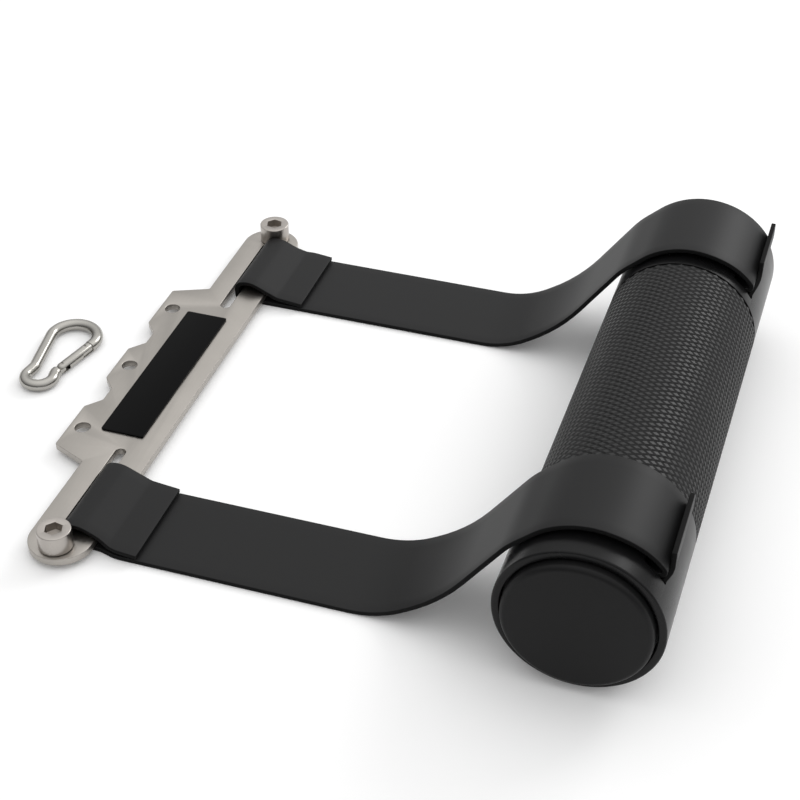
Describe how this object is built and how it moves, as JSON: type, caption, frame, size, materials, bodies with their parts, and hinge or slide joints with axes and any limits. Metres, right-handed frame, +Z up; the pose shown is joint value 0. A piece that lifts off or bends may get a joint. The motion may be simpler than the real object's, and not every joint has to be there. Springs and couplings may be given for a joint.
{
  "type": "cable wrist trainer",
  "caption": "Strap-hung round handle for wrist and forearm training on a cable pulley, with a slotted steel anchor plate and a snap hook.",
  "frame": {"origin": "centre of the whole set's footprint, on the surface it lies on", "axes": "+X from the anchor plate towards the handle, +Y along the handle from its near end to its far end, +Z up"},
  "size_m": [0.2944, 0.2378, 0.064],
  "materials": {
    "brushed_plate_steel": "satin brushed stainless",
    "screw_steel": "bright stainless",
    "polished_hook_steel": "polished stainless",
    "pin_steel": "bright stainless",
    "strap_black": "smooth coated webbing, satin",
    "tube_black": "black anodised, semi-gloss",
    "grip_black": "fine pyramid texture, satin",
    "cap_black": "matt",
    "name_plate_black": "bare, semi-gloss",
    "rod_grey": "plain"
  },
  "bodies": {
    "straps": {"near_strap": "strap_black", "far_strap": "strap_black"},
    "plate": {"anchor_plate": "brushed_plate_steel", "name_plate": "name_plate_black", "near_cap_screw": "screw_steel", "far_cap_screw": "screw_steel"},
    "handle": {"handle_tube": "tube_black", "grip_sleeve": "grip_black", "near_end_cap": "cap_black", "far_end_cap": "cap_black", "near_retaining_rod": "rod_grey", "far_retaining_rod": "rod_grey"},
    "hook": {"carabiner_body": "polished_hook_steel", "gate_rivet": "pin_steel"},
    "gate": {"carabiner_gate": "polished_hook_steel", "gate_latch_pin": "pin_steel", "gate_plunger": "pin_steel", "gate_spring": "pin_steel"}
  },
  "joints": [
    {"name": "plate_swing", "type": "hinge", "parent": "straps", "child": "plate", "pos_m": [-0.07282, 0, 0.0036], "axis": [0, 1, 0], "range_deg": [-90, 90], "deforming": ["near_strap", "far_strap"]},
    {"name": "handle_twist", "type": "hinge", "parent": "straps", "child": "handle", "pos_m": [0.11722, 0, 0.03], "axis": [0, 1, 0], "range_deg": [-30, 30], "deforming": ["near_strap", "far_strap"]},
    {"name": "hook_lift", "type": "slide", "parent": "straps", "child": "hook", "axis": [0, 0, 1], "range_m": [0, 0.1]},
    {"name": "gate_hinge", "type": "hinge", "parent": "hook", "child": "gate", "pos_m": [-0.12945, -0.00755, 0.0025], "axis": [0, 0, 1], "range_deg": [0, 28], "stiffness_Nm_per_rad": 0.01, "springref_deg": -22.92}
  ]
}
